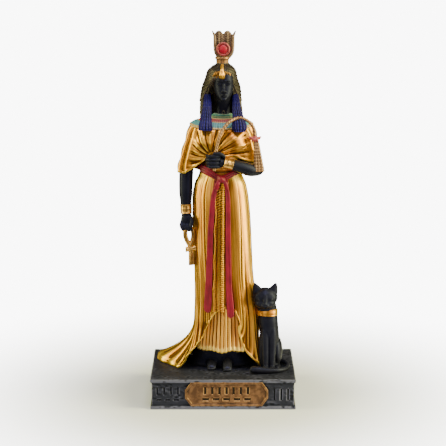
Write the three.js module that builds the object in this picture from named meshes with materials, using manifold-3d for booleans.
// A painted cast-resin figurine on a plinth: a standing goddess in a gold gown and shawl, and a cat.
// Millimetres, +Z up. The figure faces -Y, and +X is to the right of someone who looks at her face.
// The origin is on the surface that the plinth stands on, under its middle.
import * as THREE from "three";
import { mergeVertices } from "three/addons/utils/BufferGeometryUtils.js";
import Module from "manifold-3d";

const wasm = await Module();
wasm.setup();

// Driving dimensions
const STATUE_HEIGHT = 200;
const PLINTH = { width: 78, depth: 61, height: 16.6 };
const FIGURE_FORWARD = 2.7; // how far the axis that the figures are modelled round stands before the plinth's
const SEAT_GAP = 0.3; // what stands on the plinth is cast apart and cemented into this joint
const FLOOR = PLINTH.height + SEAT_GAP;
const GRID = 0.01; // every point's coordinates are a multiple of this

// Colours and finishes of the paint
const PAINT = {
  stone: new THREE.MeshStandardMaterial({ color: 0x26262b, roughness: 0.62, metalness: 0.0 }),
  gold: new THREE.MeshStandardMaterial({ color: 0xc8892c, roughness: 0.34, metalness: 0.75 }),
  black: new THREE.MeshStandardMaterial({ color: 0x1d1c24, roughness: 0.45, metalness: 0.0 }),
};

// Sculpting tools

const { sin, cos, abs, max, min, hypot, atan2, sqrt, PI } = Math;
const TURN = 2 * PI;
const radians = (degrees) => (degrees * PI) / 180;
const mix = (a, b, share) => a + (b - a) * share;
const clamp01 = (value) => min(1, max(0, value));
const ease = (value) => clamp01(value) ** 2 * (3 - 2 * clamp01(value));
const gaussian = (value, middle, spread) => Math.exp(-(((value - middle) / spread) ** 2));
const FORWARD = new THREE.Vector3(0, -1, 0);
const UPWARD = new THREE.Vector3(0, 0, 1);

/** Reads a table of rows at a place between them. A row's first number is its place, and the curve through
 *  the rows has no overshoot. With a period the table closes on itself. */
function reader(rows, period = 0) {
  const sorted = [...rows].sort((a, b) => a[0] - b[0]);
  const shifted = (row, by) => [row[0] + by, ...row.slice(1)];
  const all = period
    ? [...sorted.map((r) => shifted(r, -period)), ...sorted, ...sorted.map((r) => shifted(r, period))]
    : sorted;
  const slope = (i, k) => {
    if (i === 0 || i === all.length - 1) return 0;
    const before = (all[i][k] - all[i - 1][k]) / (all[i][0] - all[i - 1][0]);
    const after = (all[i + 1][k] - all[i][k]) / (all[i + 1][0] - all[i][0]);
    return before * after <= 0 ? 0 : (2 * before * after) / (before + after);
  };
  return (wanted) => {
    const place = period ? ((wanted % period) + period) % period : wanted;
    let i = 0;
    while (i < all.length - 2 && all[i + 1][0] < place) i += 1;
    const [low, high] = [all[i], all[i + 1]];
    const gap = high[0] - low[0];
    const s = clamp01((place - low[0]) / gap);
    return low.slice(1).map((value, column) => {
      const k = column + 1;
      const start = slope(i, k) * gap;
      const end = slope(i + 1, k) * gap;
      const rise = high[k] - value;
      return value + s * (start + s * (3 * rise - 2 * start - end + s * (start + end - 2 * rise)));
    });
  };
}

/** A point of an oval that touches the four sides left, right, front and back. Angle 0 is its front. */
function onOval([left, right, front, back], angle, grow = 0) {
  const x = (left + right) / 2 + ((right - left) / 2 + grow) * sin(angle);
  const y = (front + back) / 2 + ((front - back) / 2 - grow) * cos(angle);
  return [x, y];
}

/** A capped tube whose wall is place(angle, along), with along from 0 at its foot to 1 at its top. */
function skin(place, around, rows) {
  const geometry = new THREE.CylinderGeometry(1, 1, 1, around, rows);
  const points = geometry.attributes.position;
  const ringMiddle = (along) => {
    const sum = [0, 0, 0];
    for (let i = 0; i < around; i += 1) {
      place((TURN * i) / around, along).forEach((value, k) => (sum[k] += value / around));
    }
    return sum;
  };
  for (let i = 0; i < points.count; i += 1) {
    const [x, y, z] = [points.getX(i), points.getY(i), points.getZ(i)];
    const along = Math.round((y + 0.5) * rows) / rows;
    const step = Math.round((atan2(x, z) / TURN) * around + around) % around;
    const onWall = hypot(x, z) > 0.5;
    points.setXYZ(i, ...(onWall ? place((TURN * step) / around, along) : ringMiddle(along)));
  }
  return solid(geometry);
}

/** A limb: an oval section swept through points, each written [x, y, z, half width, half thickness]. The
 *  thickness is measured towards the side that the limb faces. */
function limb(points, around = 10, rows = 10, facing = FORWARD) {
  const path = new THREE.CatmullRomCurve3(points.map(([x, y, z]) => new THREE.Vector3(x, y, z)));
  const sizes = reader(points.map(([, , , wide, thick = wide], i) => [i / (points.length - 1), wide, thick]));
  return skin(
    (angle, along) => {
      const [wide, thick] = sizes(along);
      const ahead = path.getTangent(along);
      const side = new THREE.Vector3().crossVectors(ahead, facing).normalize();
      const out = new THREE.Vector3().crossVectors(side, ahead).normalize();
      const at = path.getPoint(along);
      return at.addScaledVector(side, wide * sin(angle)).addScaledVector(out, thick * cos(angle)).toArray();
    },
    around,
    rows,
  );
}

/** An egg-shaped lump with its three half sizes, turned about the three axes in degrees. */
function lump(at, halves, turn = [0, 0, 0], around = 8, rows = 5) {
  const geometry = new THREE.SphereGeometry(1, around, rows).scale(...halves);
  const rotation = new THREE.Euler(...turn.map(radians));
  geometry.applyMatrix4(new THREE.Matrix4().makeRotationFromEuler(rotation).setPosition(...at));
  return solid(geometry);
}

/** A closed geometry as a solid that can be joined and cut. */
function solid(geometry) {
  const bare = geometry.clone();
  bare.deleteAttribute("normal");
  bare.deleteAttribute("uv");
  const merged = mergeVertices(bare, 1e-4);
  const triVerts = new Uint32Array(merged.index.array);
  const vertProperties = new Float32Array(merged.attributes.position.array);
  const made = new wasm.Manifold(new wasm.Mesh({ numProp: 3, vertProperties, triVerts }));
  if (made.volume() >= 0) return made;
  for (let i = 0; i < triVerts.length; i += 3) {
    [triVerts[i], triVerts[i + 1]] = [triVerts[i + 1], triVerts[i]];
  }
  return new wasm.Manifold(new wasm.Mesh({ numProp: 3, vertProperties, triVerts }));
}

/** All of these solids joined into one. */
const joined = (parts) => parts.reduce((whole, part) => whole.add(part));

/** The same solid with the sealed bubbles between its joined parts filled. */
const filled = (body) => joined(body.decompose().filter((shell) => shell.volume() > 0));

/** A named mesh of a solid. Its points sit on a fine grid, so that the cuts leave no slivers. */
function meshOf(name, body, material) {
  const { vertProperties, triVerts } = body.getMesh();
  const snapped = new Float32Array(vertProperties).map((value) => Math.round(value / GRID) * GRID);
  const cut = new THREE.BufferGeometry();
  cut.setAttribute("position", new THREE.BufferAttribute(snapped, 3));
  cut.setIndex([...triVerts]);
  const geometry = mergeVertices(cut, GRID / 4);
  const corners = geometry.index.array;
  const kept = [];
  for (let i = 0; i < corners.length; i += 3) {
    const [a, b, c] = corners.slice(i, i + 3);
    if (a !== b && b !== c && c !== a) kept.push(a, b, c);
  }
  geometry.setIndex(kept);
  geometry.computeVertexNormals();
  const mesh = new THREE.Mesh(geometry, material);
  mesh.name = name;
  return mesh;
}

// The gown: an open overskirt with a train, over a pleated skirt

const GOWN_TOP = 125;
const OPENING_TOP = 52; // the overskirt parts in front below this height
const FLARE = { height: 43, power: 2.2 }; // below this height the cloth sweeps out to the hem
const TRAIN = { middle: 262, spread: 24, thickness: 4.2 }; // the train's blunt end, at an angle in degrees
const FOLDS = 13;
const PLEATS = 20;

// Height, then the left, right, front and back edge of the cloth before its folds
const gownAt = reader([
  [FLOOR, -17.4, 20.6, -12.6, 15.0],
  [34, -16.6, 20.2, -12.6, 13.2],
  [44, -16.0, 19.6, -12.6, 12.0],
  [56, -15.6, 18.2, -12.4, 11.2],
  [70, -15.7, 16.7, -12.2, 10.8],
  [84, -16.2, 16.0, -11.8, 10.6],
  [98, -16.4, 15.3, -11.3, 10.6],
  [110, -16.4, 14.2, -10.6, 10.0],
  [118, -15.2, 12.7, -9.6, 8.6],
  [GOWN_TOP, -12.4, 10.2, -8.4, 7.0],
]);

// Angle from the front in degrees, then where the overskirt's edge is. It parts in front and trails left.
const hemAt = reader(
  [
    [0, 0.4, -12.6, OPENING_TOP],
    [16, 5.6, -12.4, 49.5],
    [29, 8.8, -12.0, 37],
    [42, 13.4, -11.0, 26.5],
    [56, 19.4, -8.6, FLOOR + 2.2],
    [72, 20.4, -3.5, FLOOR],
    [100, 19.6, 5.5, FLOOR],
    [135, 14.5, 14.5, FLOOR],
    [180, -1.0, 19.0, FLOOR],
    [215, -17.0, 21.0, FLOOR],
    [238, -29.5, 20.6, FLOOR],
    [256, -36.0, 16.0, FLOOR],
    [268, -35.6, 8.5, FLOOR],
    [278, -30.6, 0.4, FLOOR],
    [287, -24.6, -7.0, FLOOR],
    [297, -18.4, -9.4, 24.5],
    [312, -13.4, -11.0, 32],
    [328, -8.4, -12.2, 43],
    [346, -3.6, -12.6, 50.5],
  ],
  360,
);

/** How far the cloth stands out at its folds, from 0 in a groove to 1 on a ridge. */
function foldAt(angle, height) {
  const drift = 0.5 * sin(height / 31 + 2 * angle) + 0.9 * sin(2 * angle + 0.7);
  return 0.5 + 0.5 * cos(FOLDS * angle + drift);
}

/** A point of the overskirt's cloth. */
function onGown(angle, height) {
  const turned = (angle * 360) / TURN;
  const [hemX, hemY, hemZ] = hemAt(turned);
  const depth = mix(1.9, 0.9, ease((height - 20) / 90));
  const [x, y] = onOval(gownAt(height), angle, depth * (foldAt(angle, height) - 0.7));
  const [footX, footY] = onOval(gownAt(hemZ), angle);
  const swept = hemZ + TRAIN.thickness * gaussian(turned, TRAIN.middle, TRAIN.spread);
  const foot = min(swept, FLARE.height - 1);
  const sweep = clamp01((FLARE.height - height) / (FLARE.height - foot)) ** FLARE.power;
  return [x + sweep * (hemX - footX), y + sweep * (hemY - footY), height];
}

function overskirt() {
  const place = (angle, along) => {
    const [, , hemZ] = hemAt((angle * 360) / TURN);
    return onGown(angle, mix(hemZ, GOWN_TOP, along ** 1.3));
  };
  return skin(place, 65, 9);
}

function pleatedSkirt() {
  const hem = (angle) => 27.2 + 1.6 * (0.5 - 0.5 * cos(angle));
  const place = (angle, along) => {
    const height = mix(hem(angle), 56, along);
    const flare = 1.4 * (1 - along) ** 2;
    const tucked = 5 * ease((min(angle, TURN - angle) - 1.1) / 0.6);
    const grow = -2.3 + flare + 0.45 * cos(PLEATS * angle) - tucked;
    return [...onOval(gownAt(max(height, 34)), angle, grow), height];
  };
  return skin(place, 40, 2);
}

// The black mass and feet that show below the hem

function feet() {
  const place = (angle, along) => [-1 + 15.5 * sin(angle), 4 - 10 * cos(angle), mix(FLOOR, 34, along)];
  const foot = (x, y) => lump([x, y, FLOOR + 1.5], [2.9, 6.2, 2.2], [-6, 0, 0], 8, 6);
  const ground = solid(new THREE.BoxGeometry(60, 60, 10).translate(0, 0, FLOOR - 5));
  return joined([skin(place, 16, 1), foot(-6.2, -6.4), foot(2.6, -10.2)]).subtract(ground);
}

// The torso and the shawl

const SHAWL_TOP = 154.4;

// Height, then the left, right, front and back edge
const torsoAt = reader([
  [118, -12.0, 10.0, -8.8, 7.6],
  [124, -11.4, 9.4, -8.4, 7.0],
  [132, -11.8, 10.2, -9.0, 7.4],
  [140, -12.4, 11.4, -9.6, 7.8],
]);

const shawlAt = reader([
  [114, -24.4, 21.0, -9.4, 9.4],
  [126, -24.6, 21.4, -10.4, 9.4],
  [134, -22.9, 20.6, -11.4, 9.2],
  [141, -20.9, 19.2, -12.0, 9.0],
  [147, -19.2, 17.8, -10.6, 8.4],
  [150.4, -18.2, 16.6, -8.6, 7.6],
  [152.6, -15.2, 13.6, -6.8, 6.6],
  [SHAWL_TOP, -8.6, 7.6, -5.0, 5.0],
]);

// Angle from the front in degrees, then the height of the shawl's lower edge
const shawlEdgeAt = reader(
  [
    [0, 134.4],
    [22, 133.4],
    [50, 130.6],
    [90, 125.6],
    [135, 124],
    [180, 121],
    [215, 124.4],
    [240, 128],
    [256, 126],
    [270, 124.2],
    [296, 124],
    [318, 127],
    [334, 131.4],
    [348, 135],
  ],
  360,
);

/** A point of the shawl's cloth. Its folds fan out from the hand in front and fall down the back. */
function onShawl(angle, height, out = 0) {
  const sides = gaussian(angle, 0.42, 0.26) + gaussian(angle, TURN - 0.5, 0.26);
  const bust = 1.5 * sides * gaussian(height, 142, 5);
  const fold = 0.8 * (0.5 + 0.5 * cos(7 * angle + (height - 128) / 3.6)) * ease((SHAWL_TOP - height) / 14);
  const [x, y] = onOval(shawlAt(height), angle, out + bust + fold - 0.5);
  return [x, y, height];
}

function shawl() {
  const place = (angle, along) => {
    const [edge] = shawlEdgeAt((angle * 360) / TURN);
    return onShawl(angle, mix(edge, SHAWL_TOP, along));
  };
  return skin(place, 36, 7);
}

function torso() {
  const place = (angle, along) => {
    const height = mix(118, 140, along);
    return [...onOval(torsoAt(height), angle), height];
  };
  return skin(place, 18, 3);
}

// The broad collar round the neck

function collar() {
  const lip = reader([[0, 148.6], [60, 149.6], [90, 150.8], [180, 149.6], [270, 150.8], [300, 149.6]], 360);
  const place = (angle, along) => {
    const height = mix(lip((angle * 360) / TURN)[0], 155.4, along);
    const neck = [-0.4 + 5 * sin(angle), -0.6 - 4.6 * cos(angle), height];
    return along > 0.99 ? neck : onShawl(angle, height, 0.7);
  };
  return skin(place, 20, 3);
}

// The arms

// Each point's x, y and z, then the arm's half width
const ARM_RIGHT = [
  [-18.0, 0.2, 134, 3.3],
  [-19.7, -0.8, 125, 3.8],
  [-20.0, -2.4, 114, 3.6],
  [-19.7, -4.0, 100, 2.5],
];
const ARM_LEFT = [
  [17.6, -1.0, 131, 3.2],
  [18.0, -5.4, 126.6, 3.9],
  [11.5, -10.8, 128.2, 3.7],
  [2.2, -13.6, 131.0, 2.7],
];

function arms() {
  const rightHand = [lump([-19.6, -4.6, 97.2], [2.9, 3.4, 4.3]), lump([-21.7, -5.4, 96.2], [1.4, 1.8, 2.6])];
  const leftHand = [lump([-4.6, -13.9, 132.4], [4.6, 3.0, 4.0]), lump([-4.2, -16.2, 134.2], [3.6, 1.2, 1.4])];
  const cuffs = [
    limb([[-19.9, -3.3, 107.4, 3.2], [-19.7, -3.8, 102.5, 3.1]], 10, 1),
    limb([[4.8, -13.0, 130.3, 3.3], [0.0, -14.1, 131.5, 3.2]], 10, 1, UPWARD),
  ];
  return joined([limb(ARM_RIGHT, 9, 4), limb(ARM_LEFT, 9, 4, UPWARD), ...rightHand, ...leftHand, ...cuffs]);
}

// The ankh that hangs from the right hand

const ANKH = { foot: [-16.6, -6.0, 74.4], thickness: 2.2, lean: 5.3, turn: 14 };

function ankh() {
  const outline = new THREE.Shape();
  outline.moveTo(-2.0, 0);
  outline.lineTo(2.0, 0);
  outline.lineTo(1.3, 7.8);
  outline.lineTo(3.0, 7.5);
  outline.lineTo(3.0, 10.9);
  outline.lineTo(1.3, 10.6);
  outline.bezierCurveTo(4.6, 15.4, 4.6, 21.6, 0, 22.0);
  outline.bezierCurveTo(-4.6, 21.6, -4.6, 15.4, -1.3, 10.6);
  outline.lineTo(-3.0, 10.9);
  outline.lineTo(-3.0, 7.5);
  outline.lineTo(-1.3, 7.8);
  const eye = new THREE.Path();
  eye.moveTo(0, 12.6);
  eye.bezierCurveTo(-1.6, 15.4, -1.8, 19.2, 0, 19.5);
  eye.bezierCurveTo(1.8, 19.2, 1.6, 15.4, 0, 12.6);
  outline.holes.push(eye);
  const settings = { depth: ANKH.thickness, bevelEnabled: false, curveSegments: 4 };
  const plate = new THREE.ExtrudeGeometry(outline, settings);
  plate.translate(0, 0, -ANKH.thickness / 2).rotateX(PI / 2);
  plate.rotateY(radians(-ANKH.lean)).rotateZ(radians(ANKH.turn));
  return solid(plate.translate(...ANKH.foot));
}

// The flail in the left hand

const FLAIL = [
  [-4.6, -14.6, 128.2, 0.95],
  [-3.6, -15.2, 137.4, 0.95],
  [-1.4, -14.2, 146.4, 0.95],
  [3.6, -11.6, 153.0, 1.0],
  [8.6, -9.6, 154.8, 1.0],
  [13.4, -8.8, 152.9, 1.05],
  [16.4, -9.0, 148.6, 1.1],
  [16.9, -9.4, 144.6, 1.2],
];

function flail() {
  const lash = (foot) => {
    const [upper, lower] = [mix(16.9, foot, 0.2), mix(16.9, foot, 0.6)];
    return limb([[upper, -9.7, 144, 0.9], [lower, -10.6, 136, 1.0], [foot, -10.4, 126.3, 1.1]], 6, 3);
  };
  const knot = lump([16.9, -9.9, 144], [3.1, 1.6, 1.6], [0, 0, 0], 8, 4);
  return joined([limb(FLAIL, 6, 11), knot, ...[17.4, 19.1, 20.9].map(lash)]);
}

// The red sash: a belt, its knot and two ribbons

const SASH = { height: 4.0, thickness: 0.9 };

// Angle from the front in degrees, then the height of the belt's middle
const beltAt = reader([[0, 122.6], [35, 125.2], [90, 127.6], [180, 128.6], [270, 128.6], [325, 125.8]], 360);

function belt() {
  const place = (angle, along) => {
    const height = beltAt((angle * 360) / TURN)[0] + (along - 0.5) * SASH.height;
    const tucked = 1.8 * ease(-2 * cos(angle));
    return [...onOval(torsoAt(height), angle, 1.7 + SASH.thickness - tucked), height];
  };
  return skin(place, 20, 1);
}

/** How far forward the gown's cloth comes at a place on its front. */
function gownFront(x, height) {
  const [left, right, front, back] = gownAt(height);
  const across = (x - (left + right) / 2) / ((right - left) / 2);
  return (front + back) / 2 + ((front - back) / 2) * sqrt(max(0.05, 1 - across * across));
}

/** A ribbon that lies on the gown, written as rows of height, middle and half width. */
function ribbon(rows) {
  const at = reader(rows);
  const [top, foot] = [rows[0][0], rows[rows.length - 1][0]];
  const geometry = new THREE.BoxGeometry(2, 1, 1, 2, 1, 12);
  const points = geometry.attributes.position;
  for (let i = 0; i < points.count; i += 1) {
    const height = mix(foot, top, points.getZ(i) + 0.5);
    const [middle, half] = at(height);
    const x = middle + half * points.getX(i);
    const lift = points.getY(i) > 0 ? -1.2 : 1.5 - 0.5 * abs(points.getX(i));
    points.setXYZ(i, x, gownFront(x, height) - lift, height);
  }
  return solid(geometry);
}

// Height, then the ribbon's middle and half width
const RIBBON_LEFT = [
  [121, -3.4, 1.3],
  [113, -5.0, 1.4],
  [106, -5.8, 1.5],
  [89, -6.9, 1.6],
  [70, -7.5, 1.8],
  [54, -8.2, 2.1],
  [49.4, -8.4, 1.0],
];
const RIBBON_RIGHT = [
  [121, 1.7, 1.2],
  [111, 2.6, 1.3],
  [84, 2.8, 1.55],
  [66, 3.1, 1.65],
  [52, 3.9, 2.0],
  [46.8, 4.1, 1.0],
];

function sash() {
  const knot = lump([-0.9, -11.6, 121.8], [3.0, 2.0, 2.4]);
  return joined([belt(), knot, ribbon(RIBBON_LEFT), ribbon(RIBBON_RIGHT)]);
}

// The head with its wig, vulture cap and lappets

const HEAD = { x: 0.4, y: -2.6, z: 170 };

// Height, then the left, right, front and back edge of the wig and the cap over it
const wigAt = reader([
  [152.6, -12.6, 11.0, -3.4, 9.4],
  [157, -12.7, 10.7, -2.6, 9.8],
  [163, -12.4, 10.0, -2.6, 10.6],
  [169.5, -11.4, 9.4, -4.4, 11.0],
  [174.6, -9.7, 7.9, -7.4, 10.2],
  [178.8, -8.4, 7.0, -7.6, 8.6],
  [181.2, -6.0, 5.2, -5.8, 6.6],
  [182.8, -3.6, 3.2, -3.6, 4.0],
]);

function wig() {
  const place = (angle, along) => {
    const height = mix(152.6, 182.8, 1 - (1 - along) ** 1.5);
    const lock = 0.3 * cos(12 * angle) * ease((176 - height) / 8);
    return [...onOval(wigAt(height), angle, lock), height];
  };
  return skin(place, 24, 7);
}

function head() {
  const face = skin(
    (angle, along) => {
      const rise = -cos(PI * along);
      const round = sin(PI * mix(0.06, 0.94, along));
      const jaw = 1 - 0.22 * clamp01(-rise) ** 1.5;
      const x = HEAD.x + 5.1 * round * jaw * sin(angle);
      const y = HEAD.y - 6.0 * round * (1 - 0.1 * clamp01(-rise)) * cos(angle);
      return [x, y, HEAD.z + 6.6 * rise];
    },
    12,
    7,
  );
  const nose = limb([[HEAD.x, -8.0, 172.2, 0.6], [HEAD.x, -9.0, 169, 1.0]], 6, 2);
  const lips = lump([HEAD.x, -8.1, 167], [1.5, 0.8, 0.6], [0, 0, 0], 6, 4);
  const neck = limb([[0, -0.6, 152, 5.4], [0.2, -0.8, 157, 3.7], [HEAD.x, -1.6, 165, 3.7]], 10, 3);
  return joined([face, nose, lips, neck]);
}

// Height, then the lappet's middle, half width and front
const LAPPET_LEFT = [
  [169, -8.4, 1.0, 2.6],
  [166, -8.3, 1.6, -1.6],
  [162.8, -8.3, 2.1, -5.6],
  [159, -8.5, 2.4, -8.4],
  [154, -9.0, 3.0, -10.2],
  [149.4, -9.3, 3.8, -12.6],
  [148.4, -9.3, 3.6, -12.6],
];
const LAPPET_RIGHT = [
  [169, 6.6, 1.0, 2.6],
  [166, 6.7, 1.5, -1.6],
  [162.8, 6.9, 2.0, -5.6],
  [159, 7.3, 2.4, -8.4],
  [154, 8.2, 3.2, -10.2],
  [149.6, 8.7, 4.1, -12.4],
  [147.7, 8.7, 3.0, -12.6],
];

/** One of the two bundles of plaits that fall in front of the shoulders. */
function lappet(rows) {
  const at = reader(rows);
  const [top, foot] = [rows[0][0], rows[rows.length - 1][0]];
  return skin(
    (angle, along) => {
      const height = mix(foot, top, along);
      const [middle, half, forward] = at(height);
      const square = 0.72;
      const across = Math.sign(sin(angle)) * abs(sin(angle)) ** square;
      const out = Math.sign(cos(angle)) * abs(cos(angle)) ** square;
      return [middle + half * across, forward + 2.1 - 2.1 * out, height];
    },
    12,
    5,
  );
}

function headdress() {
  const vulture = [
    [-0.4, -7.6, 175.4, 1.2, 0.9],
    [-0.5, -8.6, 177.6, 1.4, 1.4],
    [-0.5, -7.6, 180.4, 0.9, 1.2],
    [-0.4, -4.6, 182.6, 0.8],
  ];
  return joined([wig(), head(), lappet(LAPPET_LEFT), lappet(LAPPET_RIGHT), limb(vulture, 6, 4)]);
}

// The crown: a drum, two tall plumes, horns and a sun disc

const CROWN = { foot: 181.6, drumTop: 186.4, x: 0.1, y: 0.2, drumX: -0.4 };

function crown() {
  const at = (geometry) => solid(geometry.translate(CROWN.x, CROWN.y, 0));
  const drumProfile = [
    [0, CROWN.foot],
    [3.2, CROWN.foot],
    [3.5, 184.9],
    [3.9, 185.3],
    [3.9, CROWN.drumTop],
    [0, CROWN.drumTop],
  ];
  const onPlane = ([across, up]) => new THREE.Vector2(across, up);
  const turned = (profile, around) => new THREE.LatheGeometry(profile.map(onPlane), around);
  const drum = turned(drumProfile, 12).rotateX(PI / 2).translate(CROWN.drumX, 0, 0);
  const plume = (side) => {
    const shape = new THREE.Shape();
    shape.moveTo(0, 186);
    shape.bezierCurveTo(side * 4.4, 188, side * 5.4, 193, side * 4.6, 197.4);
    shape.bezierCurveTo(side * 4.2, STATUE_HEIGHT + 0.2, side * 1.6, STATUE_HEIGHT + 0.8, side * 0.5, 197.6);
    shape.lineTo(0, 197);
    const settings = { depth: 2.0, bevelEnabled: false, curveSegments: 5 };
    return at(new THREE.ExtrudeGeometry(shape, settings).translate(0, 0, -1.0).rotateX(PI / 2));
  };
  const horn = (side) => {
    const rows = [
      [2.4, 186.2, 1.2],
      [4.2, 188.8, 1.1],
      [4.75, 192.6, 0.9],
      [4.85, 196.6, 0.8],
      [6.2, 199.6, 0.35],
    ];
    const [x, y] = [CROWN.x + 0.4, CROWN.y - 0.5];
    return limb(rows.map(([out, z, wide]) => [x + side * out, y, z, wide, wide * 1.2]), 6, 5);
  };
  const discProfile = [[0, -1.2], [3.8, -1.2], [3.8, 1.2], [3.1, 1.9], [2.7, 1.4], [1.8, 2.1], [0, 2.5]];
  const disc = turned(discProfile, 14).rotateX(PI).translate(0, -2.2, 190.4);
  return joined([at(drum), plume(-1), plume(1), horn(-1), horn(1), at(disc)]);
}

// The cat

const CAT = { x: 25.4, y: -4.6 };

// Height, then the left, right, front and back edge, measured from the cat's middle
const catAt = reader([
  [FLOOR, -4.4, 5.8, -5.5, 11.5],
  [24, -4.6, 6.0, -5.6, 11.8],
  [30, -4.5, 5.7, -6.2, 10.0],
  [36, -5.2, 5.1, -7.0, 6.4],
  [43, -6.3, 4.5, -7.2, 3.6],
  [49, -6.0, 4.0, -6.2, 2.6],
  [53, -5.2, 3.5, -5.4, 2.4],
]);

function cat() {
  const here = (x, y, z, ...sizes) => [CAT.x + x, CAT.y + y, z, ...sizes];
  const place = (angle, along) => {
    const height = mix(FLOOR, 53, along);
    const [x, y] = onOval(catAt(height), angle);
    return here(x, y, height);
  };
  const egg = (at, halves, around = 8, rows = 5) => lump(here(...at), halves, [0, 0, 0], around, rows);
  const foreleg = (side) => {
    const foot = -0.45 + side * 1.75;
    const [shoulder, shin] = [here(foot + side * 0.2, -5.0, 39, 2.3), here(foot, -7.0, 28, 1.85)];
    return limb([shoulder, shin, here(foot, -7.2, FLOOR + 0.6, 1.7)], 8, 3);
  };
  const paw = (side) => egg([-0.45 + side * 1.75, -8.2, FLOOR + 0.6], [1.8, 2.7, 2.0]);
  const haunch = (side) => egg([1.4 + side * 2.65, 1.4, 25.8], [3.1, 7.2, 8.1]);
  const elbow = egg([-3.8, -3.8, 29], [2.2, 2.7, 12]);
  const skull = egg([-2.6, -4.3, 57.0], [6.6, 5.4, 5.5], 11, 7);
  const jaw = egg([-1.8, -3.6, 52.6], [5.2, 4.9, 3.9]);
  const muzzle = egg([-2.75, -8.2, 54.1], [2.6, 2.4, 2.0]);
  const ear = (side) => {
    const [x, tip] = [-2.6 + side * 4.6, -2.6 + side * 5.8];
    const foot = here(x - side * 1.0, -4.2, 58.8, 3.0, 2.0);
    return limb([foot, here(x + side * 0.2, -4.2, 62.2, 2.2, 1.4), here(tip, -4.1, 65.2, 0.4, 0.3)], 6, 3);
  };
  const ring = limb([here(-1.25, -1.9, 50.5, 5.35, 5.1), here(-1.35, -2.2, 46.9, 5.55, 5.4)], 14, 1);
  const tail = limb(
    [
      here(4, 8.5, FLOOR + 1.3, 1.6),
      here(8.6, 5.8, FLOOR + 1.05, 1.35),
      here(10.2, 0.4, FLOOR + 0.95, 1.2),
      here(8.7, -6.4, FLOOR + 0.95, 1.2),
      here(3.4, -11.0, FLOOR + 1.1, 1.4),
      here(-2.8, -12.2, FLOOR + 1.4, 1.7),
      here(-7.4, -11.8, FLOOR + 1.8, 2.0),
      here(-10.4, -11.0, FLOOR + 1.8, 1.5),
    ],
    7,
    11,
    UPWARD,
  );
  const ground = solid(new THREE.BoxGeometry(60, 60, 10).translate(CAT.x, CAT.y, FLOOR - 5));
  const pairs = [-1, 1].flatMap((side) => [haunch(side), foreleg(side), paw(side), ear(side)]);
  return joined([skin(place, 16, 7), ...pairs, elbow, skull, jaw, muzzle, ring, tail]).subtract(ground);
}

// The plinth, with lips, sunk panels, a raised plate and rows of strokes

const LIP = { reach: 0.8, height: 1.7 };
const PLATE = { x: 1.9, z: 8.5, length: 44.4, height: 13.2, corner: 3.2, tip: 2.2, thickness: 1.5 };
const FIELD = { rim: 1.1, sink: 0.5 }; // the plate's sunk face within its rim
const STROKE_DEPTH = 0.5;

// Rows of strokes: how many, the first one's middle, the step to the next, and each one's width and height
const PLATE_ROWS = [
  { count: 7, x: -9.5, z: 10.4, step: 3.8, width: 1.4, height: 4.0 },
  { count: 5, x: -9.3, z: 5.6, step: 5.6, width: 3.6, height: 1.4 },
];
const WALL_ROWS = [
  { count: 4, x: -35.2, z: 10.2, step: 3.7, width: 1.0, height: 4.0 },
  { count: 3, x: -34.2, z: 5.2, step: 4.6, width: 2.6, height: 1.0 },
  { count: 3, x: 27.6, z: 8.2, step: 3.6, width: 1.0, height: 6.4 },
];

/** A rectangular block with its upright edges rounded. */
function block(width, depth, low, high, round) {
  const shape = new THREE.Shape();
  const [x, y] = [width / 2 - round, depth / 2 - round];
  const corners = [[x, y], [-x, y], [-x, -y], [x, -y]];
  corners.forEach(([cx, cy], i) => shape.absarc(cx, cy, round, (i * PI) / 2, ((i + 1) * PI) / 2));
  const settings = { depth: high - low, bevelEnabled: false, curveSegments: 3 };
  return solid(new THREE.ExtrudeGeometry(shape, settings).translate(0, 0, low));
}

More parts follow.
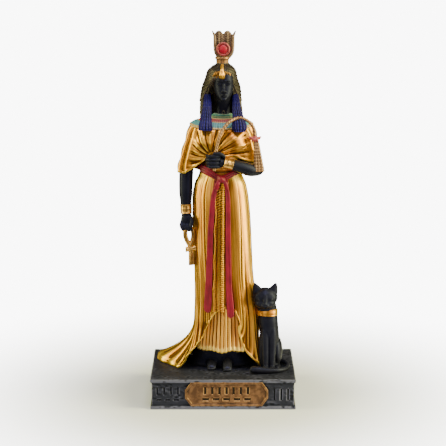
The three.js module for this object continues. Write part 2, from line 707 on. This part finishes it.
/** The plate's long outline with cut corners, as a slab whose face lies at y. */
function plateSlab(inset, y, thickness) {
  const [half, tall, tip] = [PLATE.length / 2 - inset, PLATE.height / 2 - inset, PLATE.tip - inset / 3];
  const end = [[half - PLATE.corner, -tall], [half, -tip], [half, tip], [half - PLATE.corner, tall]];
  const outline = [...end, ...end.map(([x, z]) => [-x, -z])];
  const shape = new THREE.Shape(outline.map((corner) => new THREE.Vector2(...corner)));
  const slab = new THREE.ExtrudeGeometry(shape, { depth: thickness, bevelEnabled: false });
  return solid(slab.rotateX(PI / 2).translate(PLATE.x, y + thickness, PLATE.z));
}

/** A row of small straight-sided strokes that are cut into a face at y. */
function strokes({ count, x, z, step, width, height }, y) {
  const bar = (i) => new THREE.BoxGeometry(width, 2 * STROKE_DEPTH, height).translate(x + i * step, y, z);
  return Array.from({ length: count }, (_, i) => solid(bar(i)));
}

function plinth() {
  const front = -PLINTH.depth / 2;
  const [waistWidth, waistDepth] = [PLINTH.width - 2 * LIP.reach, PLINTH.depth - 2 * LIP.reach];
  const body = joined([
    block(waistWidth, waistDepth, 0.2, PLINTH.height - 0.2, 1.2),
    block(PLINTH.width, PLINTH.depth, 0, LIP.height, 1.6),
    block(PLINTH.width, PLINTH.depth, PLINTH.height - LIP.height, PLINTH.height, 1.6),
  ]);
  const field = plateSlab(FIELD.rim, front - 1, 1 + FIELD.sink);
  const plate = plateSlab(0, front, PLATE.thickness).subtract(field);
  const onPlate = PLATE_ROWS.flatMap((row) => strokes(row, front + FIELD.sink));
  const onWall = WALL_ROWS.flatMap((row) => strokes(row, front + LIP.reach));
  return body.add(plate).subtract(joined([...onPlate, ...onWall]));
}

// The whole figurine

const dressed = [overskirt(), pleatedSkirt(), feet(), torso(), shawl(), collar(), sash()];
const goddess = filled(joined([...dressed, arms(), ankh(), flail(), headdress(), crown()]));

const figurine = new THREE.Group();
figurine.add(meshOf("plinth", plinth(), PAINT.stone));
for (const figure of [meshOf("goddess", goddess, PAINT.gold), meshOf("cat", filled(cat()), PAINT.black)]) {
  figure.position.y = -FIGURE_FORWARD;
  figurine.add(figure);
}

export default figurine;
